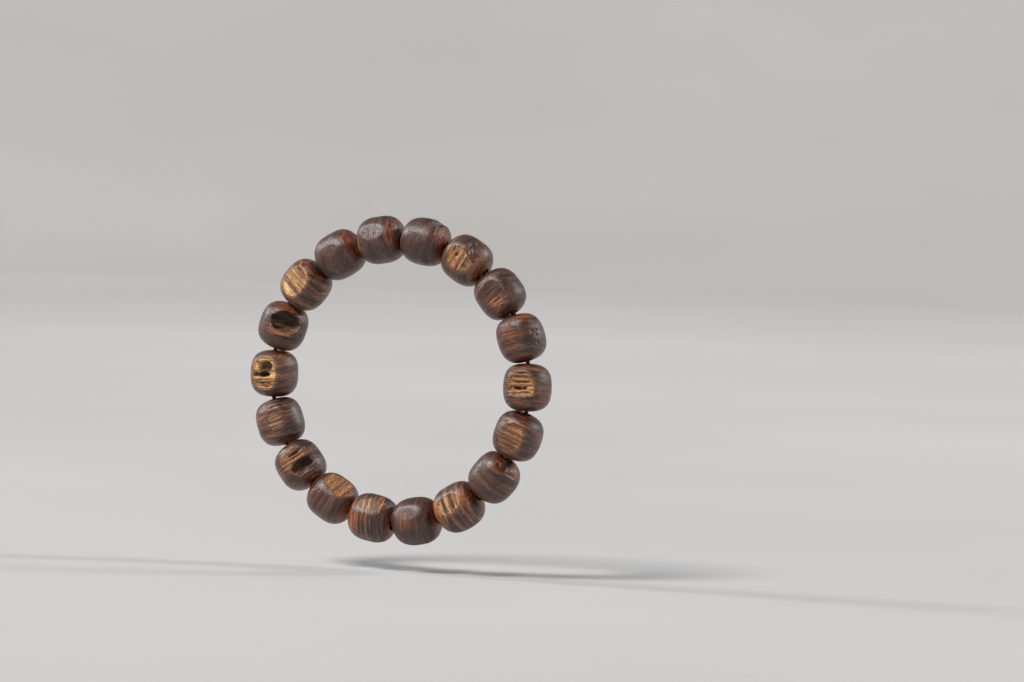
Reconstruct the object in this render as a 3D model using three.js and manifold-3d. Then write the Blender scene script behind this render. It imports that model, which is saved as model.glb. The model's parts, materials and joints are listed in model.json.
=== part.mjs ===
// A wrist mala: eighteen drilled wooden beads in a closed ring on one elastic cord.
// Millimetres. The ring stands upright in the XZ plane: its axis is Y, its front faces -Y and up is +Z.
// The origin is where a peg or a branch carries the ring: on the centre line, level with the undersides
// of the two top beads.
import * as THREE from "three";
import { mergeVertices } from "three/addons/utils/BufferGeometryUtils.js";
import Module from "manifold-3d";

const wasm = await Module();
wasm.setup();

// Driving dimensions
const BEAD_COUNT = 18;
const PITCH = 12; // cord length that one bead takes up
const BEAD_LENGTH = 11.4; // along the bore
const BEAD_RADIUS = 5.9; // at the middle of the barrel
const BARREL_POWER = 2.6; // superellipse power of a bead's outline: 2 is an ellipse, more is squarer
const BORE_RADIUS = 1.0;
const CORD_RADIUS = 0.5;
const CORD_TRIM = 0.3; // each straight length of cord stops this far short of the turning points
const KNOT_RADIUS = 1.35;
const KNOT_LENGTH = 2.0;
const KNOT_BORE_RADIUS = 1.7; // the widened mouth that hides the knot
const KNOT_CLEARANCE = 0.2; // around the cord and at the knot's two ends
const KNOT_BORE_SPARE = 0.5; // how much deeper the widened mouth is than the knot and its clearance

// Which beads are special: they are counted clockwise, seen from the front, from the upper left
const KNOT_BEAD = 12;
const FIRST_BEAD_DEG = 120;

// Fineness of the round shapes
const BARREL_SIDES = 18;
const BARREL_POINTS = 9;
const BORE_SIDES = 12;
const CORD_SIDES = 8;
const SCOOP_SIDES = 12;
const SCOOP_RINGS = 8;
const MERGE_DISTANCE = 1e-4; // corners this close are one point

// Worked out from the above
const STEP = (2 * Math.PI) / BEAD_COUNT;
const RING_RADIUS = PITCH / (2 * Math.tan(STEP / 2)); // ring centre to bead centre
const HALF_LENGTH = BEAD_LENGTH / 2;
const FAR = 3 * BEAD_RADIUS; // larger than any bead, for the blocks that cut it
const TOP_BEAD_HEIGHT = RING_RADIUS * Math.cos(STEP / 2);
const RING_CENTRE_Z = BEAD_RADIUS - TOP_BEAD_HEIGHT;

const WOOD = { dark: 0x43281c, brown: 0x5d3a24, tan: 0x7d5230, golden: 0x96683a };
const WOOD_ROUGHNESS = 0.45;
const CORD_COLOUR = 0x2a1a12;
const CORD_ROUGHNESS = 0.8;

function radians(degrees) {
  return (degrees * Math.PI) / 180;
}

// Solids and meshes. A bead's own frame has +Y along its bore, counter-clockwise round the ring,
// +X away from the ring's centre and +Z to the ring's front.

function toSolid(geometry) {
  const bare = geometry.index ? geometry.toNonIndexed() : geometry.clone();
  bare.deleteAttribute("normal");
  bare.deleteAttribute("uv");
  const merged = mergeVertices(bare, MERGE_DISTANCE);
  return new wasm.Manifold(
    new wasm.Mesh({
      numProp: 3,
      vertProperties: merged.attributes.position.array,
      triVerts: new Uint32Array(merged.index.array),
    }),
  );
}

function toGeometry(solid) {
  const mesh = solid.getMesh();
  const geometry = new THREE.BufferGeometry();
  geometry.setAttribute("position", new THREE.BufferAttribute(mesh.vertProperties, 3));
  geometry.setIndex(new THREE.BufferAttribute(mesh.triVerts, 1));
  const flat = geometry.toNonIndexed();
  flat.computeVertexNormals();
  return flat;
}

// A point on the barrel's outline, from its upper end (angle 0) to its lower end (angle pi).
function barrelPoint(angle) {
  const power = 2 / BARREL_POWER;
  const along = Math.sign(Math.cos(angle)) * HALF_LENGTH * Math.abs(Math.cos(angle)) ** power;
  const out = BEAD_RADIUS * Math.sin(angle) ** power;
  return new THREE.Vector2(out, along);
}

// A drilled barrel, turned about Y: up the outside and back down the bore.
function barrel() {
  const mouth = Math.asin((BORE_RADIUS / BEAD_RADIUS) ** (BARREL_POWER / 2));
  const profile = [];
  for (let i = 0; i < BARREL_POINTS; i += 1) {
    const angle = Math.PI - mouth - (i * (Math.PI - 2 * mouth)) / (BARREL_POINTS - 1);
    profile.push(barrelPoint(angle));
  }
  profile.push(profile[0].clone());
  return toSolid(new THREE.LatheGeometry(profile, BARREL_SIDES));
}

// Turns a cutter that was made on the bead's front to its place round the bore, from the front (0)
// towards the outside of the ring (+90) or the inside (-90).
function turned(geometry, turnDegrees) {
  return toSolid(geometry.rotateY(radians(turnDegrees)));
}

// A flat facet this far from the bore's axis.
function flat(turnDegrees, distance) {
  const block = new THREE.BoxGeometry(FAR, FAR, FAR);
  block.translate(0, 0, distance + FAR / 2);
  return turned(block, turnDegrees);
}

// A rounded hollow, centred on the barrel's skin a given distance along the bore.
function scoop(turnDegrees, along, { width, length, depth }) {
  const ball = new THREE.SphereGeometry(1, SCOOP_SIDES, SCOOP_RINGS);
  ball.scale(width / 2, length / 2, depth);
  ball.translate(0, along, BEAD_RADIUS);
  return turned(ball, turnDegrees);
}

// The widened mouth at the counter-clockwise end of the bead that holds the knot.
function knotBore() {
  const depth = KNOT_LENGTH + 2 * KNOT_CLEARANCE + KNOT_BORE_SPARE;
  const drill = new THREE.CylinderGeometry(KNOT_BORE_RADIUS, KNOT_BORE_RADIUS, 2 * depth, BORE_SIDES);
  drill.translate(0, HALF_LENGTH, 0);
  return toSolid(drill);
}

const WIDE_CHIP = { width: 5.5, length: 4.5, depth: 1.5 };
const DEEP_BITE = { width: 6.5, length: 5.4, depth: 2.6 };
const OVAL_HOLLOW = { width: 5.6, length: 3.2, depth: 2.4 };
const LONG_SPLIT = { width: 7.0, length: 2.2, depth: 2.0 };
const SMALL_PIT = { width: 2.6, length: 2.6, depth: 1.1 };

// Each bead's tone and the natural faults of its wood, clockwise from the upper left.
const BEADS = [
  { tone: "dark", cuts: [] },
  { tone: "dark", cuts: [flat(22, 5.45)] },
  { tone: "dark", cuts: [scoop(60, -4.3, WIDE_CHIP)] },
  { tone: "tan", cuts: [flat(6, 5.2), scoop(12, 1.3, SMALL_PIT)] },
  { tone: "brown", cuts: [flat(8, 5.25)] },
  { tone: "brown", cuts: [flat(4, 5.3), scoop(54, 0.4, SMALL_PIT)] },
  { tone: "tan", cuts: [flat(0, 5.1)] },
  { tone: "tan", cuts: [flat(8, 5.2)] },
  { tone: "brown", cuts: [scoop(62, 4.9, WIDE_CHIP)] },
  { tone: "tan", cuts: [flat(-10, 5.3)] },
  { tone: "dark", cuts: [flat(-20, 5.5)] },
  { tone: "brown", cuts: [flat(-40, 5.5)] },
  { tone: "brown", cuts: [flat(-64, 5.1)] },
  { tone: "brown", cuts: [flat(-24, 5.3), scoop(-30, 1.5, OVAL_HOLLOW)] },
  { tone: "brown", cuts: [flat(-14, 5.4)] },
  { tone: "golden", cuts: [flat(0, 5.1), scoop(0, 0, LONG_SPLIT)] },
  { tone: "brown", cuts: [scoop(-30, -1.9, DEEP_BITE)] },
  { tone: "golden", cuts: [flat(10, 5.1)] },
];

function beadGeometry(number) {
  const cutters = [...BEADS[number - 1].cuts];
  if (number === KNOT_BEAD) cutters.push(knotBore());
  return toGeometry(cutters.reduce((solid, cutter) => solid.subtract(cutter), barrel()));
}

// One straight length of the cord, through one bead.
function cordGeometry() {
  return new THREE.CylinderGeometry(CORD_RADIUS, CORD_RADIUS, PITCH - 2 * CORD_TRIM, CORD_SIDES);
}

// The knot, as a plump ring about the cord just inside the widened mouth.
function knotGeometry() {
  const inner = CORD_RADIUS + KNOT_CLEARANCE;
  const middle = (inner + KNOT_RADIUS) / 2;
  const thick = (KNOT_RADIUS - inner) / 2;
  const outline = [];
  for (let i = 0; i <= CORD_SIDES; i += 1) {
    const angle = (-i * 2 * Math.PI) / CORD_SIDES;
    outline.push(new THREE.Vector2(middle - thick * Math.cos(angle), (KNOT_LENGTH / 2) * Math.sin(angle)));
  }
  const ring = new THREE.LatheGeometry(outline, BORE_SIDES);
  ring.translate(0, HALF_LENGTH - KNOT_CLEARANCE - KNOT_LENGTH / 2, 0);
  return toGeometry(toSolid(ring));
}

// A group that carries one bead's own frame to its place in the ring.
function station(number) {
  const angle = radians(FIRST_BEAD_DEG) - (number - 1) * STEP;
  const group = new THREE.Group();
  group.position.set(RING_RADIUS * Math.cos(angle), 0, RING_RADIUS * Math.sin(angle));
  group.rotation.set(Math.PI / 2, -angle, 0, "YXZ");
  return group;
}

function named(name, geometry, colour, roughness) {
  const material = new THREE.MeshStandardMaterial({ color: colour, roughness, metalness: 0 });
  const mesh = new THREE.Mesh(geometry, material);
  mesh.name = name;
  return mesh;
}

const mala = new THREE.Group();
mala.position.z = RING_CENTRE_Z;
for (let number = 1; number <= BEAD_COUNT; number += 1) {
  const label = String(number).padStart(2, "0");
  const place = station(number);
  place.add(named(`bead_${label}`, beadGeometry(number), WOOD[BEADS[number - 1].tone], WOOD_ROUGHNESS));
  place.add(named(`cord_span_${label}`, cordGeometry(), CORD_COLOUR, CORD_ROUGHNESS));
  if (number === KNOT_BEAD) place.add(named("cord_knot", knotGeometry(), CORD_COLOUR, CORD_ROUGHNESS));
  mala.add(place);
}

export default mala;
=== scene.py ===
import json
import math

import bpy
import numpy as np
from mathutils import Matrix, Vector


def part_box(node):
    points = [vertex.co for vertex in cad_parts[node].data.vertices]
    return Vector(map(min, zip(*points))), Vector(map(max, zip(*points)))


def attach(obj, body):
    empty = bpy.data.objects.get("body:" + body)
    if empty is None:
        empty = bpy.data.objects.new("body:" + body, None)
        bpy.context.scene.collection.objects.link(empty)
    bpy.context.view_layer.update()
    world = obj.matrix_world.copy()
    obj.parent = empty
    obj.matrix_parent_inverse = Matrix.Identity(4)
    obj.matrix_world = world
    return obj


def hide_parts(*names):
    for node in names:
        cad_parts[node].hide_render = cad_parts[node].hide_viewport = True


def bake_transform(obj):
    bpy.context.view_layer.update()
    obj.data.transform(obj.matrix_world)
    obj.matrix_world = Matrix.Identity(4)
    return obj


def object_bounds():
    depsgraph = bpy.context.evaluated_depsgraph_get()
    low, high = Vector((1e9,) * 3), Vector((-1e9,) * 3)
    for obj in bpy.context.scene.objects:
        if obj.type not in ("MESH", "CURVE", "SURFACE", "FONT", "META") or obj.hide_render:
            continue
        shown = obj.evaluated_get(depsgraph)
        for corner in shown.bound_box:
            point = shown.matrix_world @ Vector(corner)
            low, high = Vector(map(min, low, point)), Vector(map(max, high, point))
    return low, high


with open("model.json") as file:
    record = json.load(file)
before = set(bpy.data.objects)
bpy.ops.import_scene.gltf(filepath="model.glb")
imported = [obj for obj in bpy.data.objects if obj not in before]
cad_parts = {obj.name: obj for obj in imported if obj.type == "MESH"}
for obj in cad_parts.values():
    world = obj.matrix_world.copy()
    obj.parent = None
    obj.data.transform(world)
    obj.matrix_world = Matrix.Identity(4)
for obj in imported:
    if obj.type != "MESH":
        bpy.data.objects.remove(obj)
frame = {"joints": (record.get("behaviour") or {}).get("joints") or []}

cad_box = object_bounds()

MM = 0.001
FRONT = Vector((0, -1, 0))
BEAD_COUNT = 18

# ---------------------------------------------------------------- what the frame says

joints = {joint["name"]: joint for joint in frame["joints"]}


def station(number):
    """The place of one bead's own frame in the row frame, as a matrix."""
    spin = joints[f"bead_{number:02d}_spin"]
    along = Vector(spin["axis"]).normalized()
    outward = along.cross(FRONT)
    place = Matrix((outward, along, FRONT)).transposed().to_4x4()
    place.translation = Vector(spin["pos_m"])
    return place


stations = {number: station(number) for number in range(1, BEAD_COUNT + 1)}
ring_centre = sum((place.translation for place in stations.values()), Vector()) / BEAD_COUNT
lowest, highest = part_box("bead_07")  # its own frame lies square to the row frame
BEAD_RADIUS = highest.y / MM
HALF_LENGTH = (highest.z - lowest.z) / 2 / MM
SPACING = (stations[1].translation - stations[2].translation).length / MM  # from bead to bead
TURNING_DISTANCE = 0.5 * SPACING / math.cos(math.pi / BEAD_COUNT)  # along the bore to a turning point
cord_low, cord_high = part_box("cord_span_07")
CORD_RADIUS = (cord_high.y - cord_low.y) / 2 / MM
knot_low, knot_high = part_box("cord_knot")
KNOT_BEAD = 12
OPEN_GAP = 11  # the gap after this bead is the one with no joint

# ---------------------------------------------------------------- camera

CAMERA_AZIMUTH = math.radians(25.5)
CAMERA_ELEVATION = math.radians(2.4)
CAMERA_ROLL = math.radians(1.85)
CAMERA_DISTANCE = 1.25
CAMERA_LENS = 183
AIM_RIGHT = 0.0267  # the ring sits left of the picture's middle and below it
AIM_UP = 0.0103


def add_camera():
    data = bpy.data.cameras.new("camera")
    data.lens = CAMERA_LENS
    data.sensor_width = 36
    camera = bpy.data.objects.new("camera", data)
    bpy.context.scene.collection.objects.link(camera)
    level = math.cos(CAMERA_ELEVATION)
    back = Vector((
        math.sin(CAMERA_AZIMUTH) * level,
        -math.cos(CAMERA_AZIMUTH) * level,
        math.sin(CAMERA_ELEVATION),
    ))
    right = Vector((math.cos(CAMERA_AZIMUTH), math.sin(CAMERA_AZIMUTH), 0))
    up = back.cross(right)
    aim = ring_centre + right * AIM_RIGHT + up * AIM_UP
    turn = back.to_track_quat("Z", "Y").to_matrix() @ Matrix.Rotation(CAMERA_ROLL, 3, "Z")
    camera.matrix_world = Matrix.Translation(aim + back * CAMERA_DISTANCE) @ turn.to_4x4()
    bpy.context.scene.camera = camera


# ---------------------------------------------------------------- seeded noise on points


CELL_FACTORS = (374761393, 668265263, 2147483647)  # one for each axis
SEED_FACTOR = 362437
SEED_LIMIT = 4294967291
SCRAMBLES = ((13, 1274126177), (16, 2246822519))  # how far each pass shifts, and its factor
LAST_SHIFT = 15
HALF_RANGE = 2147483647.5  # half of the largest 32-bit number


def lattice(cell, seed):
    """A value from -1 to 1 for each whole-numbered cell."""
    mixed = np.uint32(seed * SEED_FACTOR % SEED_LIMIT)
    for axis, factor in enumerate(CELL_FACTORS):
        mixed = mixed + cell[:, axis].astype(np.int64).astype(np.uint32) * np.uint32(factor)
    for shift, factor in SCRAMBLES:
        mixed = (mixed ^ (mixed >> np.uint32(shift))) * np.uint32(factor)
    mixed = mixed ^ (mixed >> np.uint32(LAST_SHIFT))
    return mixed.astype(np.float64) / HALF_RANGE - 1


def noise(points, seed):
    """Smooth value noise from -1 to 1, one unit to a cell."""
    base = np.floor(points)
    part = points - base
    part = part * part * (3 - 2 * part)
    total = np.zeros(len(points))
    for corner in range(8):
        step = np.array([corner & 1, corner >> 1 & 1, corner >> 2 & 1])
        weight = np.prod(np.where(step, part, 1 - part), axis=1)
        total += weight * lattice(base + step, seed)
    return total


def layered(points, seed, layers=3):
    """Noise with finer, weaker layers on top."""
    total = np.zeros(len(points))
    for layer in range(layers):
        total += noise(points * 2.0 ** layer, seed + layer) / 2.0 ** layer
    return total / (2 - 2.0 ** (1 - layers))


def smooth(value, low, high):
    """0 below low, 1 above high, and a smooth rise between them."""
    t = np.clip((value - low) / (high - low), 0, 1)
    return t * t * (3 - 2 * t)


# ---------------------------------------------------------------- a bead's mesh

AROUND = 256  # points round the bore
ALONG = 136  # points from mouth to mouth over the outside
BORE_POINTS = 14
LIP_POINTS = 5
OUTLINE_SAMPLES = 4000
BARREL_POWER = 2.8  # superellipse power of the outline: 2 is an ellipse, more is squarer
BORE_RADIUS = 1.0
KNOT_BORE_RADIUS = 1.7  # the widened mouth that hides the knot
KNOT_BORE_DEPTH = 2.9
KNOT_BORE_TAPER = 0.3
LIP = 0.35  # how far a mouth's edge is rounded
LIP_FADE = 0.9  # the worn skin's relief fades out over this distance from the lip
EDGE_ROUND = 0.07  # how far a flat's edge is rounded


def outline(wide_mouth):
    """The closed outline of a drilled barrel, as rows of (radius, along, share of outer skin)."""
    top = KNOT_BORE_RADIUS if wide_mouth else BORE_RADIUS
    start = math.asin(((BORE_RADIUS + LIP) / BEAD_RADIUS) ** (BARREL_POWER / 2))
    end = math.asin(((top + LIP) / BEAD_RADIUS) ** (BARREL_POWER / 2))
    angle = np.linspace(math.pi - start, end, OUTLINE_SAMPLES)
    out = BEAD_RADIUS * np.sin(angle) ** (2 / BARREL_POWER)
    along = np.sign(np.cos(angle)) * HALF_LENGTH * np.abs(np.cos(angle)) ** (2 / BARREL_POWER)
    length = np.concatenate([[0], np.cumsum(np.hypot(np.diff(out), np.diff(along)))])
    even = np.linspace(0, length[-1], ALONG)
    outer = np.stack([np.interp(even, length, out), np.interp(even, length, along)], axis=1)
    turn = np.linspace(0, math.pi / 2, LIP_POINTS + 1)[1:]
    upper = np.stack([
        top + LIP - LIP * np.sin(turn),
        outer[-1, 1] - LIP * (1 - np.cos(turn)),
    ], axis=1)
    lower = np.stack([
        BORE_RADIUS + LIP - LIP * np.sin(turn[::-1]),
        outer[0, 1] + LIP * (1 - np.cos(turn[::-1])),
    ], axis=1)
    depth = np.linspace(upper[-1, 1], lower[0, 1], BORE_POINTS + 2)[1:-1]
    shoulder = HALF_LENGTH - KNOT_BORE_DEPTH
    widened = smooth(depth, shoulder - KNOT_BORE_TAPER, shoulder)
    bore = np.stack([BORE_RADIUS + (top - BORE_RADIUS) * widened, depth], axis=1)
    loop = np.concatenate([outer, upper, bore, lower])
    skin = np.zeros(len(loop))
    skin[:ALONG] = smooth(outer[:, 0], BORE_RADIUS + LIP, BORE_RADIUS + LIP + LIP_FADE)
    return np.column_stack([loop, skin])


class Bead:
    """One bead's points in its own frame, in mm, with how bare and warm each point is, how much painted
    shade it gets, and how pale its wear and painted highlight make it.

    Each kind of noise adds a number of its own to the bead's seed, so that no two are alike.
    """

    def __init__(self, number):
        self.seed = 100 * number
        self.loop = outline(number == KNOT_BEAD)
        angle = np.arange(AROUND) * (2 * math.pi / AROUND)
        radius, along, skin = self.loop.T
        shape = (AROUND, len(self.loop))
        x = np.outer(np.sin(angle), radius)
        y = np.broadcast_to(along, shape)
        z = np.outer(np.cos(angle), radius)
        self.at = np.stack([x, y, z], axis=-1).reshape(-1, 3)
        self.skin = np.broadcast_to(skin, shape).reshape(-1).copy()
        self.bare = np.zeros(len(self.at))
        self.recess_shade = np.zeros(len(self.at))
        self.wear_and_highlight = np.zeros(len(self.at))
        self.warm = np.zeros(len(self.at))

    def faces(self):
        count = len(self.loop)
        column = np.arange(AROUND)[:, None] * count
        following = (np.arange(AROUND)[:, None] + 1) % AROUND * count
        row = np.arange(count)[None, :]
        below = (row + 1) % count
        quads = np.stack([column + row, following + row, following + below, column + below], axis=-1)
        return quads.reshape(-1, 4)

    def grain(self, x, y, z):
        """The points, scaled for noise that is long along the fibres (x) and short across them (y)."""
        return self.at * np.array([x, y, z])

    def seen_from(self, turn):
        """The way this turn faces, and each point's height above the bore, across it and along it."""
        angle = math.radians(turn)
        facing = np.array([math.sin(angle), 0, math.cos(angle)])
        across = np.array([math.cos(angle), 0, -math.sin(angle)])
        return facing, self.at @ facing, self.at @ across, self.at[:, 1]

    def lower(self, facing, height, amount):
        """Moves the skin in, against facing, where it faces that way."""
        taken = amount * self.skin * smooth(height, 0.0, 1.5)
        self.at -= taken[:, None] * facing
        return taken

    def wear(self, amount):
        """Makes a turned barrel hand-made: never larger, but a little out of round."""
        away = layered(self.at * 0.22, self.seed + 1, 2) * 0.5 + 0.5
        fine = layered(self.grain(0.3, 1.3, 0.9), self.seed + 2, 2) * 0.5 + 0.5
        share = 1 - self.skin * (amount * away + 0.006 * fine) / BEAD_RADIUS * 3
        self.at *= share[:, None] ** [1, 0, 1]

    def ledges(self, seed):
        """From -1 to 1 in steps, like layers of fibres torn off one after another."""
        value = 2.5 * layered(self.grain(0.16, 1.15, 0.6), seed, 2)
        whole = np.floor(value)
        return (whole + smooth(value - whole, 0.3, 0.6) + 0.5) / 2.5

    def facet(self, turn, distance, bare=0.0, low=-9.0, high=9.0, torn=0.015, lean=0.0):
        """A flat rubbed onto the barrel, from low to high along the bore, with torn fibres if bare."""
        facing, height, _, along = self.seen_from(turn)
        ragged = 0.35 * noise(self.grain(0.5, 0.4, 0.5), self.seed + 3)
        inside = smooth(along + ragged, low - 0.2, low + 0.2)
        inside = inside * smooth(-along + ragged, -high - 0.2, -high + 0.2)
        fibre = layered(self.grain(0.22, 2.1, 1.1), self.seed + 4, 3)
        floor = distance + lean * along - torn * (1 + self.ledges(self.seed + 12) - fibre)
        over = height - floor
        amount = EDGE_ROUND * np.logaddexp(0, over / EDGE_ROUND) * inside
        taken = self.lower(facing, height, amount)
        self.bare = np.maximum(self.bare, bare * smooth(taken, 0.06, 0.25))
        edge = np.exp(-(over / 0.3) ** 2) * inside * smooth(height, 0, 2)
        self.wear_and_highlight = np.maximum(self.wear_and_highlight, edge * (0.12 + 0.4 * bare))
        # Painted shade in the clefts between torn fibres, where the facet is bare
        clefts = smooth(-fibre, 0.3, 0.8) * smooth(taken, 0.1, 0.3)
        self.recess_shade = np.maximum(self.recess_shade, clefts * torn * 3 * bare)

    def scoop(
        self, turn, along_at, width, length, depth,
        steep=0.5, bare=0.8, shift=0.0, dark=1.0, lip=0.0, rough=1.0,
    ):
        """A scooped dip of rounded outline whose deepest point is this far below the barrel's skin.

        The smaller steep is, the steeper are its walls, and shift moves it across the bore. dark is how
        deep its painted shade is. lip is how pale and splintered its counter-clockwise edge is, and how
        far its painted shade eases towards that edge, where the light reaches in; rough is how far its
        floor splinters.
        """
        facing, height, across, along = self.seen_from(turn)
        ragged = 0.13 * layered(self.grain(0.5, 1.1, 0.9), self.seed + 5, 3)
        reach = np.hypot((across - shift) / (width / 2), (along - along_at) / (length / 2)) + ragged
        bottom = np.clip(1 - reach ** 2, 0, 1) ** steep
        splinter = 1 - 2 * np.abs(layered(self.grain(0.16, 1.5, 0.5), self.seed + 6, 2))
        floor = BEAD_RADIUS - depth * bottom + 0.3 * rough * splinter * smooth(bottom, 0, 0.4)
        amount = np.where(reach < 1, np.maximum(height - floor, 0), 0)
        taken = self.lower(facing, height, amount)
        self.bare = np.maximum(self.bare, bare * smooth(taken, 0.05, 0.4))
        # Painted shade in the scoop: darker the deeper it goes, lighter on splinters and towards the lip
        # edge, the side the light reaches
        side = lip * (along - along_at) / (length / 2)
        lit_side_easing = 0.1 + 0.45 * smooth(side, 0.0, 0.7)
        shaded = smooth(taken, 0.25, 1.1) - lit_side_easing * smooth(splinter, 0.3, 0.95)
        self.recess_shade = np.maximum(self.recess_shade, dark * np.clip(shaded, 0, 1))
        patchy = smooth(noise(self.grain(0.5, 0.9, 0.7), self.seed + 13), -0.3, 0.4)
        rim = np.exp(-((reach - 1.0) / 0.13) ** 2) * patchy * smooth(side, 0.1, 0.7)
        self.wear_and_highlight = np.maximum(self.wear_and_highlight, rim * smooth(height, 1, 3))

    def groove(self, turn, along_at, across_at, length, width, depth, bow=0.0):
        """A split along the fibres, across the bore: long, narrow and ragged, deepest in its middle."""
        facing, height, across, along = self.seen_from(turn)
        seed = self.seed + 7 + round(10 * (along_at + 6))
        share = (across - across_at) / (length / 2)
        wander = 0.16 * noise(self.grain(0.7, 0.15, 0.4), seed)
        wander = wander + 0.05 * noise(self.grain(2.2, 0.4, 1.0), seed + 1)
        swell = 1 + 0.45 * noise(self.grain(1.1, 0.2, 0.5), seed + 2)
        aside = (along - along_at - bow * share ** 2 - wander) / (width / 2 * swell)
        broken = 0.75 + 0.45 * noise(self.grain(1.4, 0.3, 0.6), seed + 3)
        amount = depth * broken * np.exp(-np.abs(aside) ** 3) * np.clip(1 - share ** 2, 0, 1) ** 0.7
        taken = self.lower(facing, height, amount)
        # Painted shade in the split, darkest where it is deepest
        self.recess_shade = np.maximum(self.recess_shade, 0.9 * smooth(taken, 0.15, 0.7))
        edge = np.exp(-((aside - 1.7) / 0.5) ** 2) * smooth(1.1 - np.abs(share), 0, 0.3)
        edge = edge * (0.1 + self.bare)
        self.wear_and_highlight = np.maximum(self.wear_and_highlight, 0.7 * edge * smooth(height, 1, 3) * smooth(depth, 0.2, 0.6))

    def pit(self, turn, along_at, across_at, radius, depth):
        """A small hole, not quite round."""
        facing, height, across, along = self.seen_from(turn)
        reach = np.hypot(across - across_at, along - along_at) / radius
        reach = reach * (1 + 0.25 * noise(self.at * 1.8, self.seed + 14))
        taken = self.lower(facing, height, depth * np.exp(-reach ** 3))
        # Painted shade in the pit
        self.recess_shade = np.maximum(self.recess_shade, 0.8 * smooth(taken, 0.15, 0.6))

    def knot(self, turn, along_at, radius):
        """A branch's knot: a smooth domed bump with a painted highlight, painted shade in a crease round
        one side and a pale curl at the other.
        """
        facing, height, across, along = self.seen_from(turn)
        away = along - along_at
        reach = np.hypot(across, away) * (1 + 0.22 * layered(self.at * 0.5, self.seed + 15, 3))
        uneven = 0.3 * noise(self.at * 0.7, self.seed + 8)
        side = smooth((away - 0.8 * across) / radius + uneven, -0.3, 0.5)
        trough = np.exp(-((reach - radius) / 0.42) ** 2) * side
        outside = smooth(reach, radius, radius + 0.3) * smooth(-reach, -radius - 1.6, -radius)
        beyond = 0.25 * outside * side
        taken = self.lower(facing, height, 0.6 * trough + beyond)
        # Painted shade in the crease round the knot
        self.recess_shade = np.maximum(self.recess_shade, 0.8 * smooth(taken, 0.3, 0.8))
        self.bare = np.where(reach < radius, self.bare * 0.2, self.bare)
        pale = np.exp(-((reach - radius * 0.9) / 0.28) ** 2) * smooth(-away / radius, 0.1, 0.6)
        # Painted highlight: the domed bump is coloured pale to stand for the shine on it
        dome_highlight = 0.4 * smooth(-reach, -0.8 * radius, -0.3 * radius)
        self.wear_and_highlight = np.maximum(self.wear_and_highlight, np.maximum(pale, dome_highlight) * smooth(height, 1, 3))

    def cover(self, turn, along_at, width, length):
        """1 over a ragged place on the skin, 0 away from it."""
        facing, height, across, along = self.seen_from(turn)
        ragged = 0.4 * layered(self.grain(0.3, 1.7, 0.9), self.seed + 9, 3)
        reach = np.hypot(across / (width / 2), (along - along_at) / (length / 2)) + ragged
        return smooth(-reach, -1.1, -0.5) * smooth(height, 0, 2)

    def patch(self, turn, along_at, width, length, amount):
        """Bare wood with no change of shape."""
        self.bare = np.maximum(self.bare, amount * self.cover(turn, along_at, width, length))

    def glow(self, turn, along_at, width, length, amount):
        """Amber wood that shows through the polished skin."""
        self.warm = np.maximum(self.warm, amount * self.cover(turn, along_at, width, length))

    def fibres(self, shell, torn):
        """Relief of the fibres: faint on the polished skin, rough where the wood is bare."""
        outward = self.at * [1, 0, 1]
        outward /= np.maximum(np.linalg.norm(outward, axis=1), 1e-6)[:, None]
        fine = layered(self.grain(0.25, 2.6, 1.4), self.seed + 10, 3) * 0.5 + 0.5
        ridges = 1 - np.abs(layered(self.grain(0.18, 1.6, 0.9), self.seed + 11, 2))
        amount = shell * fine + torn * self.bare * (0.5 * fine + 0.8 * (1 - ridges))
        self.at -= (amount * self.skin)[:, None] * outward
        ends = smooth(np.abs(self.at[:, 1]), HALF_LENGTH - 1.3, HALF_LENGTH - 0.3)
        self.warm = np.maximum(self.warm, 0.55 * ends)


# ---------------------------------------------------------------- the eighteen beads

# Counted clockwise from the upper left, seen from the front. A place on a bead is its turn round
# the bore, from the front (0) towards the outside of the ring (+90) or the inside (-90), and its
# distance along the bore from the bead's middle, counter-clockwise positive.


def bead_01(b):
    b.wear(0.12)
    b.facet(10, 5.6)
    b.glow(38, -4.7, 6, 3.2, 0.9)
    b.glow(8, 3.4, 3, 3, 0.4)


def bead_02(b):
    b.wear(0.1)
    b.facet(22, 5.45)
    b.glow(0, 4.6, 7, 2.6, 0.9)
    b.glow(20, -4.2, 8, 3, 0.7)


def bead_03(b):
    b.wear(0.1)
    b.facet(12, 5.6)
    b.scoop(92, -2.9, 8.6, 3.8, 2.3, steep=0.8, bare=0.15, dark=0.1, rough=0.2)
    b.facet(56, 4.35, bare=0.65, high=-3.6, torn=0.1)
    b.patch(66, -4.4, 5.0, 1.8, 0.9)
    b.glow(50, -4.9, 7.0, 2.6, 1.0)
    b.glow(0, 4.8, 7, 2.4, 0.9)


def bead_04(b):
    b.wear(0.1)
    b.facet(6, 5.2, bare=0.75, torn=0.09)
    b.pit(14, 1.2, 0.0, 0.5, 0.5)
    b.pit(14, 1.9, 0.6, 0.3, 0.3)
    b.knot(54, -2.7, 2.1)
    b.glow(30, -4.2, 6, 2.2, 0.7)


def bead_05(b):
    b.wear(0.1)
    b.facet(8, 5.25, bare=0.1, torn=0.03)
    b.patch(2, -1.9, 4.6, 3.4, 1.0)
    b.glow(2, -1.9, 6.5, 5.0, 0.9)
    b.groove(4, -1.3, 0.3, 4.0, 0.35, 0.3)
    b.groove(4, -2.2, 0.0, 3.6, 0.35, 0.35)
    b.groove(4, -3.0, 0.3, 3.0, 0.3, 0.25)


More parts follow.
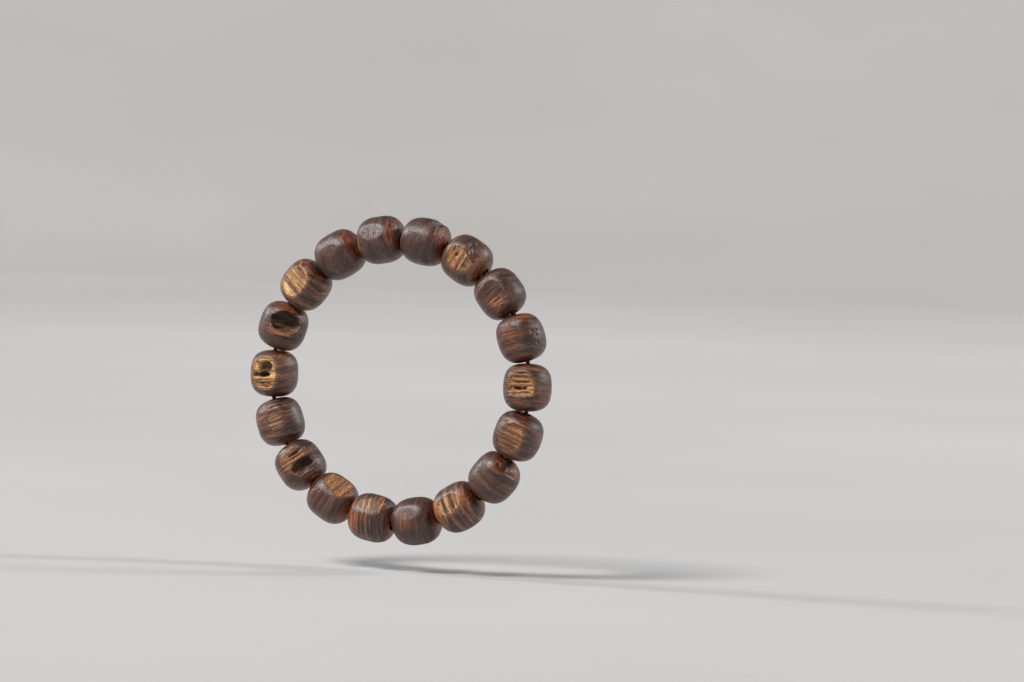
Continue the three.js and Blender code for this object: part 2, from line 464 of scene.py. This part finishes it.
def bead_06(b):
    b.wear(0.12)
    b.facet(4, 5.35, bare=0.25, torn=0.04)
    b.glow(0, 0.7, 4.0, 5.6, 1.0)
    b.glow(48, 4.1, 8, 3.0, 0.9)
    b.pit(56, 0.3, 0.0, 0.5, 0.32)
    b.pit(56, -0.5, 0.9, 0.4, 0.25)
    b.pit(56, 0.6, 1.3, 0.35, 0.25)
    b.pit(58, -2.4, 0.6, 0.35, 0.25)


def bead_07(b):
    b.wear(0.06)
    b.facet(6, 4.85, bare=0.85, low=-1.7, high=4.6, torn=0.1)
    for along, across, length, width, depth in (
        (3.5, -0.2, 3.6, 0.45, 0.4),
        (2.5, -0.4, 4.6, 0.5, 0.5),
        (1.5, 0.1, 5.2, 0.55, 0.7),
        (0.1, -0.3, 5.0, 0.7, 1.0),
        (-1.0, 1.2, 2.6, 0.55, 0.6),
    ):
        b.groove(6, along, across, length, width, depth)
    b.glow(6, -3.4, 6, 2.4, 0.6)


def bead_08(b):
    b.wear(0.08)
    b.facet(8, 5.15, bare=0.9, torn=0.06)
    b.glow(8, 0.0, 8, 9, 0.5)
    b.glow(20, 3.8, 9, 2.6, 1.0)
    b.groove(14, 3.2, 1.0, 4.0, 0.35, 0.3)


def bead_09(b):
    b.wear(0.12)
    b.facet(0, 5.6)
    b.glow(10, 4.3, 6.0, 3.0, 1.0)
    b.pit(8, 4.6, -0.5, 0.35, 0.5)
    b.facet(38, 4.0, bare=0.6, low=4.0, torn=0.12)
    b.pit(18, 5.0, 0.3, 0.9, 1.3)
    b.patch(78, 4.8, 3.0, 2.4, 0.9)


def bead_10(b):
    b.wear(0.08)
    b.facet(-10, 5.3, bare=0.8, torn=0.07)
    b.glow(-12, -3.6, 7, 3.4, 0.8)
    b.groove(-10, 0.1, 0.2, 4.4, 0.45, 0.45)
    b.groove(-10, 0.9, 0.6, 4.0, 0.4, 0.45)
    b.groove(-10, 2.0, 0.0, 3.4, 0.3, 0.25)
    b.glow(-6, 4.6, 6, 2.4, 1.0)
    b.pit(-6, 4.6, 0.0, 0.35, 0.4)
    b.pit(-6, 4.4, 1.0, 0.3, 0.4)


def bead_11(b):
    b.wear(0.1)
    b.facet(-20, 5.5)
    b.glow(2, -0.4, 5, 5, 0.6)


def bead_12(b):
    b.wear(0.1)
    b.facet(-40, 5.5, bare=0.5, torn=0.04)
    b.patch(-44, 1.6, 7.0, 6.0, 0.6)
    b.glow(10, -3.0, 7.0, 4.6, 1.0)


def bead_13(b):
    b.wear(0.1)
    b.facet(-64, 5.0, bare=1.0, torn=0.14, low=-3.2, lean=-0.06)
    b.facet(0, 5.6)
    b.glow(6, -3.4, 5, 3, 0.7)


def bead_14(b):
    b.wear(0.06)
    b.facet(-24, 5.25, bare=0.7, torn=0.08)
    b.scoop(-30, 1.4, 6.4, 3.4, 2.7, steep=0.3, bare=0.9, shift=0.2, lip=1)
    b.groove(-30, -2.0, -0.4, 4.6, 0.6, 0.9)
    b.groove(-30, -1.0, 0.2, 4.0, 0.45, 0.5)
    b.groove(-24, 3.3, -0.2, 4.4, 0.4, 0.6)
    b.groove(-22, 4.0, 0.2, 3.4, 0.35, 0.4)
    b.patch(6, -1.6, 3.0, 4.0, 0.8)
    b.glow(6, -1.6, 4.0, 6.0, 0.9)


def bead_15(b):
    b.wear(0.08)
    b.facet(-14, 5.45, bare=0.45, torn=0.04)
    b.groove(-34, -3.4, 0.3, 4.6, 0.4, 0.55, bow=0.4)
    for along, across, length in (
        (-1.4, 0.3, 3.6),
        (-0.6, -0.6, 3.2),
        (0.3, 0.2, 4.2),
        (1.4, 0.0, 3.6),
    ):
        b.groove(-16, along, across, length, 0.4, 0.18, bow=0.3)
    b.glow(10, 2.2, 4.0, 3.0, 0.7)


def bead_16(b):
    b.wear(0.05)
    b.facet(2, 4.95, bare=0.9, torn=0.07, high=3.9)
    b.scoop(0, -1.7, 4.2, 3.3, 2.7, steep=0.35, bare=0.75, dark=0.85)
    b.groove(24, -1.8, 0.0, 2.4, 0.3, 0.3, bow=-0.6)
    b.groove(24, -2.7, -0.2, 2.2, 0.3, 0.3, bow=-0.6)
    b.groove(4, 0.1, 0.4, 5.2, 1.1, 2.0)
    b.groove(0, 1.4, 0.3, 4.6, 0.35, 0.4)
    b.groove(0, 2.2, 0.3, 4.4, 0.4, 0.55)
    b.groove(0, 3.0, 0.3, 4.0, 0.45, 0.6)


def bead_17(b):
    b.wear(0.05)
    b.scoop(-28, -2.0, 7.6, 5.2, 3.2, steep=0.22, bare=0.75, lip=1)
    b.patch(-34, 0.8, 6.0, 1.5, 0.9)
    b.groove(-34, 1.5, -0.2, 5.4, 0.4, 0.4, bow=0.3)
    b.glow(-14, -4.6, 8, 2.6, 0.9)
    b.glow(-6, 0.6, 3, 3, 0.8)


def bead_18(b):
    b.wear(0.05)
    b.facet(10, 5.05, bare=0.95, torn=0.05, lean=0.03)
    b.groove(12, -3.3, 0.2, 3.6, 0.45, 0.7)
    for step in range(9):
        b.groove(10, -1.9 + 0.62 * step, 0.2 * (step % 3), 5.2, 0.2, 0.26)
    b.glow(22, -4.4, 7, 3.0, 1.0)


TONES = {
    "dark": {"slot": "dark_wood", "beads": (1, 2, 3, 11)},
    "brown": {"slot": "brown_wood", "beads": (5, 6, 9, 12, 13, 14, 15, 17)},
    "tan": {"slot": "tan_wood", "beads": (4, 7, 8, 10)},
    "golden": {"slot": "golden_wood", "beads": (16, 18)},
}

CARVED = [
    bead_01, bead_02, bead_03, bead_04, bead_05, bead_06, bead_07, bead_08, bead_09,
    bead_10, bead_11, bead_12, bead_13, bead_14, bead_15, bead_16, bead_17, bead_18,
]

SHELL_RELIEF = 0.035  # mm of fibre relief on the polished skin
TORN_RELIEF = 0.14  # mm more where the wood is bare


def new_mesh(name, points, faces, material, values=None):
    """A smooth-shaded mesh object in the row frame. values are extra per-point attributes."""
    mesh = bpy.data.meshes.new(name)
    mesh.vertices.add(len(points))
    mesh.vertices.foreach_set("co", np.asarray(points, np.float32).ravel())
    mesh.loops.add(faces.size)
    mesh.loops.foreach_set("vertex_index", faces.astype(np.int32).ravel())
    mesh.polygons.add(len(faces))
    mesh.polygons.foreach_set("loop_start", np.arange(len(faces), dtype=np.int32) * faces.shape[1])
    mesh.polygons.foreach_set("use_smooth", np.ones(len(faces), bool))
    mesh.update(calc_edges=True)
    mesh.validate()
    for key, value in (values or {}).items():
        if value.ndim == 2:
            attribute = mesh.attributes.new(key, "FLOAT_VECTOR", "POINT")
            attribute.data.foreach_set("vector", value.astype(np.float32).ravel())
        else:
            attribute = mesh.attributes.new(key, "FLOAT", "POINT")
            attribute.data.foreach_set("value", value.astype(np.float32))
    mesh.materials.append(material)
    made = bpy.data.objects.new(name, mesh)
    bpy.context.scene.collection.objects.link(made)
    return made


def placed(points, place):
    """Points in a bead's own frame, in mm, moved to their place in the row frame, in metres."""
    matrix = np.array(place)
    return points * MM @ matrix[:3, :3].T + matrix[:3, 3]


def add_bead(number, material):
    bead = Bead(number)
    CARVED[number - 1](bead)
    bead.fibres(SHELL_RELIEF, TORN_RELIEF)
    values = {
        "grain": bead.at,
        "bare": bead.bare,
        "recess_shade": bead.recess_shade,
        "wear_and_highlight": bead.wear_and_highlight,
        "warm": bead.warm,
    }
    label = f"bead_{number:02d}"
    made = new_mesh(f"{label}_wood", placed(bead.at, stations[number]), bead.faces(), material, values)
    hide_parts(label)
    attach(made, label)


# ---------------------------------------------------------------- materials


class Nodes:
    """Short ways to add and join shader nodes in one material."""

    def __init__(self, name):
        self.material = bpy.data.materials.new(name)
        self.material.use_nodes = True
        self.tree = self.material.node_tree
        self.shader = self.tree.nodes["Principled BSDF"]

    def add(self, kind, inputs=None, **settings):
        node = self.tree.nodes.new(kind)
        for key, value in settings.items():
            setattr(node, key, value)
        for key, value in (inputs or {}).items():
            self.put(node.inputs[key], value)
        return node

    def put(self, socket, value):
        if isinstance(value, bpy.types.NodeSocket):
            self.tree.links.new(value, socket)
        else:
            socket.default_value = value

    def value(self, name):
        return self.add("ShaderNodeAttribute", attribute_name=name).outputs["Fac"]

    def vector(self, name):
        return self.add("ShaderNodeAttribute", attribute_name=name).outputs["Vector"]

    def math(self, operation, a, b=0.0, clamp=False):
        node = self.add("ShaderNodeMath", {0: a, 1: b}, operation=operation, use_clamp=clamp)
        return node.outputs[0]

    def scaled(self, vector, by):
        return self.add("ShaderNodeVectorMath", {0: vector, 1: by}, operation="MULTIPLY").outputs[0]

    def moved(self, vector, by):
        return self.add("ShaderNodeVectorMath", {0: vector, 1: by}, operation="ADD").outputs[0]

    def noise(self, vector, scale=1.0, detail=2.0, roughness=0.5):
        inputs = {"Vector": vector, "Scale": scale, "Detail": detail, "Roughness": roughness}
        return self.add("ShaderNodeTexNoise", inputs).outputs

    def ramp(self, value, stops):
        node = self.add("ShaderNodeValToRGB", {"Fac": value})
        elements = node.color_ramp.elements
        while len(elements) < len(stops):
            elements.new(0.5)
        for element, (position, colour) in zip(elements, stops):
            element.position = position
            element.color = (*colour, 1)
        return node.outputs["Color"]

    def spread(self, value, low, high, to_low=0.0, to_high=1.0):
        inputs = {"Value": value, "From Min": low, "From Max": high, "To Min": to_low, "To Max": to_high}
        return self.add("ShaderNodeMapRange", inputs).outputs["Result"]

    def mix(self, share, a, b, blend="MIX"):
        node = self.add("ShaderNodeMix", data_type="RGBA", blend_type=blend)
        self.put(node.inputs["Factor"], share)
        for key, colour in (("A", a), ("B", b)):
            socket = next(s for s in node.inputs if s.name == key and s.type == "RGBA")
            self.put(socket, (*colour, 1) if isinstance(colour, tuple) else colour)
        return next(s for s in node.outputs if s.type == "RGBA")


def shade(red, green, blue):
    """A colour given as it looks on a screen, from 0 to 255, as linear values."""
    return tuple((c / 255) ** 2.2 for c in (red, green, blue))


# The polished skin from its darkest layers to its lightest, then the bare wood
PALETTES = {
    "dark": {
        "skin": [shade(18, 10, 9), shade(50, 28, 22), shade(84, 51, 39), shade(124, 82, 62)],
        "bare": [shade(40, 21, 13), shade(104, 63, 37), shade(148, 99, 60), shade(188, 140, 96)],
    },
    "brown": {
        "skin": [shade(19, 10, 8), shade(54, 30, 22), shade(92, 56, 39), shade(136, 90, 63)],
        "bare": [shade(42, 22, 13), shade(116, 71, 38), shade(170, 115, 65), shade(214, 163, 108)],
    },
    "tan": {
        "skin": [shade(20, 11, 8), shade(58, 33, 23), shade(100, 62, 42), shade(146, 98, 68)],
        "bare": [shade(44, 23, 13), shade(124, 77, 41), shade(180, 125, 71), shade(226, 178, 122)],
    },
    "golden": {
        "skin": [shade(21, 11, 8), shade(60, 35, 24), shade(104, 66, 44), shade(152, 104, 72)],
        "bare": [shade(48, 26, 14), shade(136, 87, 44), shade(200, 146, 82), shade(242, 204, 148)],
    },
}
# Colour of the painted shade in hollows, splits, pits and clefts
SHADE_COLOUR = shade(11, 6, 5)
PORE = shade(15, 8, 6)
AMBER = (shade(60, 27, 12), shade(190, 102, 44))
PLUM = shade(74, 47, 46)
SKIN_STOPS = (0.2, 0.43, 0.63, 0.85)  # where in the wood's lightness each of its four colours sits
BARE_STOPS = (0.16, 0.42, 0.64, 0.88)
FIBRE_BUMP = 0.00014

# For each bead: how strongly its layers show, how far its fibres lean, in degrees about the front,
# and how much amber colours all of it
CHARACTER = {
    1: (0.35, 5, 0.15), 2: (0.35, -4, 0.2), 3: (0.3, 3, 0.2), 4: (0.6, -3, 0.25), 5: (0.5, -5, 0.1),
    6: (0.55, 4, 0.4), 7: (0.6, 0, 0.25), 8: (0.5, 3, 0.35), 9: (0.4, -3, 0.25), 10: (1.0, 2, 0.3),
    11: (0.4, 4, 0.25), 12: (1.0, -6, 0.35), 13: (0.5, 3, 0.25), 14: (0.6, 5, 0.25),
    15: (0.9, 3, 0.25), 16: (0.7, 0, 0.3), 17: (0.4, -3, 0.3), 18: (0.9, 2, 0.3),
}


def wood_pattern(n, number):
    """The wood's structure at each point: grain, fine fibres, blotches, pores and how light it is."""
    bands, lean, _ = CHARACTER[number]
    grain = n.add(
        "ShaderNodeMapping",
        {"Vector": n.vector("grain"), "Location": (7.3 * number, 3.1 * number, 5.7 * number),
         "Rotation": (0.12, 0.0, math.radians(lean))},
    ).outputs[0]
    # the fibres sway a little
    sway = n.noise(grain, 0.22, 2.0)["Color"]
    sway = n.scaled(n.moved(sway, (-0.5, -0.5, -0.5)), (0.5, 0.9, 0.5))
    swept = n.moved(grain, sway)
    # broad layers, fine fibres and clouds of another tone, all in turns per mm
    layer = n.noise(n.scaled(swept, (0.04, 1.1, 0.14)), 1.0, 3.0, 0.55)["Fac"]
    fine = n.noise(n.scaled(swept, (0.13, 3.7, 1.7)), 1.0, 4.0, 0.75)["Fac"]
    blotch = n.noise(grain, 0.24, 3.0)["Fac"]
    # short dark pores along the fibres, crowded in some places
    pores = n.add(
        "ShaderNodeTexVoronoi", {"Vector": n.scaled(swept, (0.42, 1.6, 1.7)), "Scale": 1.0}
    ).outputs["Distance"]
    pores = n.spread(pores, 0.16, 0.31, 1.0, 0.0)
    pores = n.math("MULTIPLY", pores, n.spread(blotch, 0.36, 0.56, 0.35, 1.0))
    # the sum of them, with harder steps where a bead's layers show strongly
    layer = n.spread(layer, 0.5 - 0.17 / (0.5 + bands), 0.5 + 0.17 / (0.5 + bands))
    light = n.math("ADD", n.math("MULTIPLY", layer, 0.3 + 0.3 * bands), n.math("MULTIPLY", fine, 1.35))
    light = n.math("ADD", light, n.math("MULTIPLY", n.math("SUBTRACT", blotch, 0.5), 0.3))
    light = n.math("SUBTRACT", light, 0.33 + 0.15 * bands)
    return grain, fine, blotch, pores, light


def wood_colour(n, number, tone, pattern, bare):
    """Polished skin, amber, bare wood, pale rubbed edges with a painted highlight on a knot, pores and
    painted shade in the hollows, one over another.
    """
    grain, fine, blotch, pores, light = pattern
    amber = CHARACTER[number][2]
    palette = PALETTES[tone]
    skin = n.ramp(light, list(zip(SKIN_STOPS, palette["skin"])))
    torn = n.ramp(light, list(zip(BARE_STOPS, palette["bare"])))
    skin = n.mix(n.spread(blotch, 0.46, 0.7, 0.0, 0.4), skin, PLUM)
    warm = n.spread(n.noise(grain, 0.33, 2.0)["Fac"], 0.45, 0.68, 0.0, amber)
    warm = n.math("MAXIMUM", warm, n.value("warm"))
    warm = n.math("MULTIPLY", warm, n.spread(fine, 0.38, 0.6, 0.25, 0.95))
    honey = n.ramp(light, [(0.25, AMBER[0]), (0.85, AMBER[1])])
    skin = n.mix(warm, skin, honey)
    torn = n.mix(n.math("MULTIPLY", warm, 0.45), torn, honey)
    colour = n.mix(bare, skin, torn)
    # Pale rubbed edges, and the painted highlight on a knot
    wear_and_highlight = n.math("MULTIPLY", n.value("wear_and_highlight"), n.spread(fine, 0.36, 0.6, 0.1, 0.75))
    colour = n.mix(wear_and_highlight, colour, palette["bare"][2])
    dark = n.math("MULTIPLY", pores, n.spread(bare, 0.0, 1.0, 0.75, 0.95))
    colour = n.mix(dark, colour, PORE)
    # Painted shade in hollows, splits, pits and clefts, laid over everything else
    return n.mix(n.spread(n.value("recess_shade"), 0.1, 1.0, 0.0, 0.94), colour, SHADE_COLOUR)


def wood(number, tone):
    """Worn hardwood: layers stacked along the bore, fibres across it, pores and a polished skin."""
    n = Nodes(f"wood_{number:02d}")
    pattern = wood_pattern(n, number)
    _, fine, _, pores, _ = pattern
    bare = n.math("ADD", n.value("bare"), n.math("MULTIPLY", n.math("SUBTRACT", fine, 0.5), 0.5))
    bare = n.spread(bare, 0.22, 0.66)
    n.put(n.shader.inputs["Base Color"], wood_colour(n, number, tone, pattern, bare))
    rough = n.math("ADD", n.spread(fine, 0.36, 0.64, 0.32, 0.55), n.math("MULTIPLY", bare, 0.22))
    rough = n.math("ADD", rough, n.math("MULTIPLY", n.value("recess_shade"), 0.3), clamp=True)
    n.put(n.shader.inputs["Roughness"], rough)
    n.shader.inputs["Coat Weight"].default_value = 0.5
    n.shader.inputs["Coat Roughness"].default_value = 0.37
    relief = n.math("SUBTRACT", n.math("MULTIPLY", fine, 0.8), n.math("MULTIPLY", pores, 0.9))
    strength = n.spread(bare, 0.0, 1.0, 0.65, 0.95)
    bump = n.add("ShaderNodeBump", {"Height": relief, "Strength": strength, "Distance": FIBRE_BUMP})
    n.put(n.shader.inputs["Normal"], bump.outputs[0])
    n.put(n.shader.inputs["Coat Normal"], bump.outputs[0])
    return n.material


CORD_DARK = shade(22, 13, 10)
CORD_LIGHT = shade(64, 42, 31)
BRAID_BUMP = 0.0001


def cord_material():
    """Brown elastic cord with a braided cover."""
    n = Nodes("elastic_cord")
    place = n.vector("grain")
    braid = n.add(
        "ShaderNodeTexWave", {"Vector": place, "Scale": 2.2, "Distortion": 1.5, "Detail": 2.0},
        bands_direction="DIAGONAL",
    ).outputs["Fac"]
    fuzz = n.noise(place, 6.0, 3.0)["Fac"]
    share = n.math("ADD", n.math("MULTIPLY", braid, 0.6), n.math("MULTIPLY", fuzz, 0.4))
    colour = n.ramp(share, [(0.25, CORD_DARK), (0.8, CORD_LIGHT)])
    n.put(n.shader.inputs["Base Color"], colour)
    n.put(n.shader.inputs["Roughness"], n.spread(fuzz, 0.3, 0.7, 0.62, 0.85))
    bump = n.add("ShaderNodeBump", {"Height": share, "Strength": 0.6, "Distance": BRAID_BUMP})
    n.put(n.shader.inputs["Normal"], bump.outputs[0])
    return n.material


GROUND_DARK = (0.47, 0.46, 0.45)
GROUND_LIGHT = (0.51, 0.50, 0.49)


def floor_material():
    """Matt pale studio ground with a faint unevenness."""
    n = Nodes("studio_ground")
    place = n.add("ShaderNodeTexCoord").outputs["Object"]
    cloud = n.noise(place, 3.0, 3.0)["Fac"]
    colour = n.ramp(cloud, [(0.3, GROUND_DARK), (0.7, GROUND_LIGHT)])
    n.put(n.shader.inputs["Base Color"], colour)
    n.put(n.shader.inputs["Roughness"], n.spread(cloud, 0.3, 0.7, 0.8, 0.9))
    return n.material


# ---------------------------------------------------------------- cord and knot

CORD_SIDES = 24
CORD_STEP = 0.12  # mm between rings of the cord
BRAID_RELIEF = 0.05  # how far the braid's hollows reach in, as a share of the radius
BEND = 1.2  # mm of cord that turns on each side of a turning point
END_REACH = 0.66  # mm that the cord from the open gap's first bead goes past the turning point
KNOT_SET_BACK = 0.3  # mm that the tied knot sits deeper in the mouth, clear of that cord's end
STRANDS = 8
BRAID_PITCH = 2.6  # mm along the cord after which the braid's pattern repeats


def sweep(points, radius):
    """A closed tube round a line of points, in mm, with a braid's lozenges pressed into its skin.

    It gives the skin's points, its four-sided faces, its end faces and its points' place on the braid.
    """
    points = np.asarray(points, float)
    ahead = np.gradient(points, axis=0)
    ahead /= np.linalg.norm(ahead, axis=1)[:, None]
    side = np.cross(ahead, [0.0, 1.0, 0.0] if abs(ahead[0][1]) < 0.9 else [1.0, 0.0, 0.0])
    side /= np.linalg.norm(side, axis=1)[:, None]
    rise = np.cross(ahead, side)
    travelled = np.concatenate([[0], np.cumsum(np.linalg.norm(np.diff(points, axis=0), axis=1))])
    angle = np.arange(CORD_SIDES) * (2 * math.pi / CORD_SIDES)
    phase = 2 * math.pi * travelled[:, None] / BRAID_PITCH
    half = STRANDS / 2
    lozenge = np.maximum(np.sin(half * angle + phase), np.sin(half * angle - phase))
    reach = radius * (1 - BRAID_RELIEF * (1 - lozenge))
    ring = side[:, None] * np.cos(angle)[None, :, None] + rise[:, None] * np.sin(angle)[None, :, None]
    skin = points[:, None] + ring * reach[:, :, None]
    count = len(points)
    start = np.arange(count - 1)[:, None] * CORD_SIDES
    following = start + CORD_SIDES
    around = np.arange(CORD_SIDES)[None, :]
    after = (around + 1) % CORD_SIDES
    quads = np.stack([start + around, start + after, following + after, following + around], axis=-1)
    across = angle * radius * np.ones((count, 1))
    along = travelled[:, None] * np.ones(CORD_SIDES)
    place = np.stack([across, along, np.zeros_like(along)], axis=-1).reshape(-1, 3)
    caps = []
    middle = count * CORD_SIDES
    for first, turn in ((0, -1), ((count - 1) * CORD_SIDES, 1)):
        ends = np.stack([first + around[0], first + after[0]][::turn], axis=-1)
        caps.append(np.column_stack([ends, np.full(CORD_SIDES, middle)]))
        middle += 1
    skin = np.concatenate([skin.reshape(-1, 3), points[:1], points[-1:]])
    place = np.concatenate([place, place[:1], place[-1:]])
    return skin, quads.reshape(-1, 4), np.concatenate(caps), place


def tube(name, points, radius, material):
    """A tube object round points in the row frame, in metres."""
    skin, quads, caps, place = sweep(np.array(points) / MM, radius)
    faces = [tuple(face) for face in quads] + [tuple(face) for face in caps]
    mesh = bpy.data.meshes.new(name)
    mesh.from_pydata([tuple(p) for p in skin * MM], [], faces)
    mesh.polygons.foreach_set("use_smooth", np.ones(len(faces), bool))
    attribute = mesh.attributes.new("grain", "FLOAT_VECTOR", "POINT")
    attribute.data.foreach_set("vector", place.astype(np.float32).ravel())
    mesh.materials.append(material)
    made = bpy.data.objects.new(name, mesh)
    bpy.context.scene.collection.objects.link(made)
    return made


def line(start, end):
    """Evenly spaced points from start to end, one cord step apart."""
    count = max(2, round((end - start).length / MM / CORD_STEP))
    return [start.lerp(end, i / count) for i in range(count + 1)]


def along_bore(number, distance):
    """The point this many mm along a bead's bore from its middle."""
    return stations[number] @ Vector((0, distance * MM, 0))


def over_gap(number):
    """Points from the middle of a bead to the middle of the next, round the turning point between."""
    following = number % BEAD_COUNT + 1
    turning = along_bore(number, -TURNING_DISTANCE)
    before = along_bore(number, -(TURNING_DISTANCE - BEND))
    after = along_bore(following, TURNING_DISTANCE - BEND)
    steps = round(2 * BEND / CORD_STEP)
    curve = []
    for i in range(1, steps):
        share = i / steps
        curve.append(before.lerp(turning, share).lerp(turning.lerp(after, share), share))
    points = [*line(along_bore(number, 0), before), *curve, *line(after, along_bore(following, 0))]
    return points, before, after


def gap_cord(number, material):
    """The cord across one gap, round the turning point between its two beads."""
    points, before, after = over_gap(number)
    made = tube(f"cord_{number:02d}", points, CORD_RADIUS, material)
    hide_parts(f"cord_span_{number:02d}")
    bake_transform(made)


def open_gap_cord(material):
    """The cord at the gap with no joint: it runs into the knot bead's mouth and ends at the knot."""
    points, before, after = over_gap(OPEN_GAP)
    inside = stations[KNOT_BEAD].inverted()
    last = TURNING_DISTANCE - END_REACH
    reaching = [point for point in points if (inside @ point).y / MM > last]
    made = tube(f"cord_end_{OPEN_GAP:02d}", reaching, CORD_RADIUS, material)
    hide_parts(f"cord_span_{OPEN_GAP:02d}")
    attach(made, f"span_{OPEN_GAP:02d}")
    middle = (inside @ ((knot_low + knot_high) / 2)).y / MM - KNOT_SET_BACK
    core = line(along_bore(KNOT_BEAD, 0), along_bore(KNOT_BEAD, middle))
    made = tube(f"cord_end_{KNOT_BEAD:02d}", core, CORD_RADIUS, material)
    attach(made, f"span_{KNOT_BEAD:02d}")


KNOT_TURNS = 2
KNOT_LOBES = 3
KNOT_CORD = 0.34  # radius of the cord where it is drawn tight, in mm, like the sizes below
KNOT_POINTS = 160
KNOT_REACH = 0.66  # from the bore's axis to the middle of the tied cord
KNOT_SWELL = 0.26  # how far its lobes swing out and in
KNOT_RISE = 0.5  # how far they swing along the bore
TAIL_ROOT = (0.62, 0.1, 0.15)  # in the knot bead's frame, from the knot's middle
TAIL_TIP = (0.75, -0.85, 0.35)


def add_knot(material):
    """The cord's two ends tied together: a trefoil drawn tight round the cord, with two cut tails."""
    place = stations[KNOT_BEAD].copy()
    deeper = place.to_3x3() @ Vector((0, -KNOT_SET_BACK * MM, 0))
    place.translation = (knot_low + knot_high) / 2 + deeper
    turn = np.linspace(0, 2 * math.pi, KNOT_POINTS, endpoint=False)
    reach = KNOT_REACH + KNOT_SWELL * np.cos(KNOT_LOBES * turn)
    x = reach * np.cos(KNOT_TURNS * turn)
    z = reach * np.sin(KNOT_TURNS * turn)
    y = KNOT_RISE * np.sin(KNOT_LOBES * turn)
    loop = np.stack([x, y, z], axis=1)
    ends = np.concatenate([loop, loop[:1]])
    made = tube("cord_knot_tied", [place @ Vector(p * MM) for p in ends], KNOT_CORD, material)
    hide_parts("cord_knot")
    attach(made, f"span_{KNOT_BEAD:02d}")
    for letter, side in (("a", -1), ("b", 1)):
        across = Vector((side, 1, 1))
        root = place @ (Vector(TAIL_ROOT) * across * MM)
        tip = place @ (Vector(TAIL_TIP) * across * MM)
        tail = tube(f"cord_tail_{letter}", line(root, tip), KNOT_CORD, material)
        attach(tail, f"span_{KNOT_BEAD:02d}")


# ---------------------------------------------------------------- stage and lights

FLAT_RINGS = (0.02, 0.3, 1.0, 2.2)  # metres from the ring's centre
CURVE_RADIUS = 1.6
CURVE_STEPS = 24
STAGE_SIDES = 96
HANGING_ROOM = 0.0065  # the ring hangs, and its bottom comes this much lower when it is squeezed


def add_stage():
    """A pale round floor that curves up into a wall all the way round."""
    level = cad_box[0].z - HANGING_ROOM
    outline_points = [(radius, 0.0) for radius in FLAT_RINGS]
    for i in range(1, CURVE_STEPS + 1):
        angle = i * math.pi / 2 / CURVE_STEPS
        outline_points.append((
            FLAT_RINGS[-1] + CURVE_RADIUS * math.sin(angle),
            CURVE_RADIUS * (1 - math.cos(angle)),
        ))
    points, faces = [(ring_centre.x, ring_centre.y, level)], []
    for radius, height in outline_points:
        for side in range(STAGE_SIDES):
            angle = side * 2 * math.pi / STAGE_SIDES
            points.append((
                ring_centre.x + radius * math.cos(angle),
                ring_centre.y + radius * math.sin(angle),
                level + height,
            ))
    for side in range(STAGE_SIDES):
        following = (side + 1) % STAGE_SIDES
        faces.append((0, 1 + side, 1 + following))
        for row in range(len(outline_points) - 1):
            low = 1 + row * STAGE_SIDES
            high = low + STAGE_SIDES
            faces.append((low + side, high + side, high + following, low + following))
    mesh = bpy.data.meshes.new("ground")
    mesh.from_pydata(points, [], faces)
    mesh.polygons.foreach_set("use_smooth", np.ones(len(faces), bool))
    mesh.materials.append(floor_material())
    ground = bpy.data.objects.new("ground", mesh)
    bpy.context.scene.collection.objects.link(ground)


def towards(azimuth, elevation):
    """The direction from the ring to a place seen at this azimuth and elevation, in degrees."""
    a, e = math.radians(azimuth), math.radians(elevation)
    return Vector((math.sin(a) * math.cos(e), -math.cos(a) * math.cos(e), math.sin(e)))


def add_sun(name, azimuth, elevation, strength, softness, colour):
    data = bpy.data.lights.new(name, "SUN")
    data.energy = strength
    data.angle = math.radians(softness)
    data.color = colour
    lamp = bpy.data.objects.new(name, data)
    bpy.context.scene.collection.objects.link(lamp)
    lamp.rotation_mode = "QUATERNION"
    lamp.rotation_quaternion = towards(azimuth, elevation).to_track_quat("Z", "Y")


def add_lights():
    add_sun("key", -32, 50, 2.9, 20, (1.0, 0.975, 0.95))
    add_sun("rim_left", -86, 28, 1.3, 10, (0.94, 0.96, 1.0))
    add_sun("rim_right", 122, 28, 1.2, 10, (0.90, 0.94, 1.0))
    world = bpy.data.worlds.new("studio")
    world.use_nodes = True
    background = world.node_tree.nodes["Background"]
    background.inputs["Color"].default_value = (0.90, 0.94, 1.0, 1)
    background.inputs["Strength"].default_value = 0.2
    bpy.context.scene.world = world
    bpy.context.scene.view_settings.view_transform = "Standard"


# ---------------------------------------------------------------- making it all

add_camera()
for tone, group in TONES.items():
    for number in group["beads"]:
        add_bead(number, wood(number, tone))

cord_look = cord_material()
for number in range(1, BEAD_COUNT + 1):
    if number != OPEN_GAP:
        gap_cord(number, cord_look)
open_gap_cord(cord_look)
add_knot(cord_look)

add_stage()
add_lights()
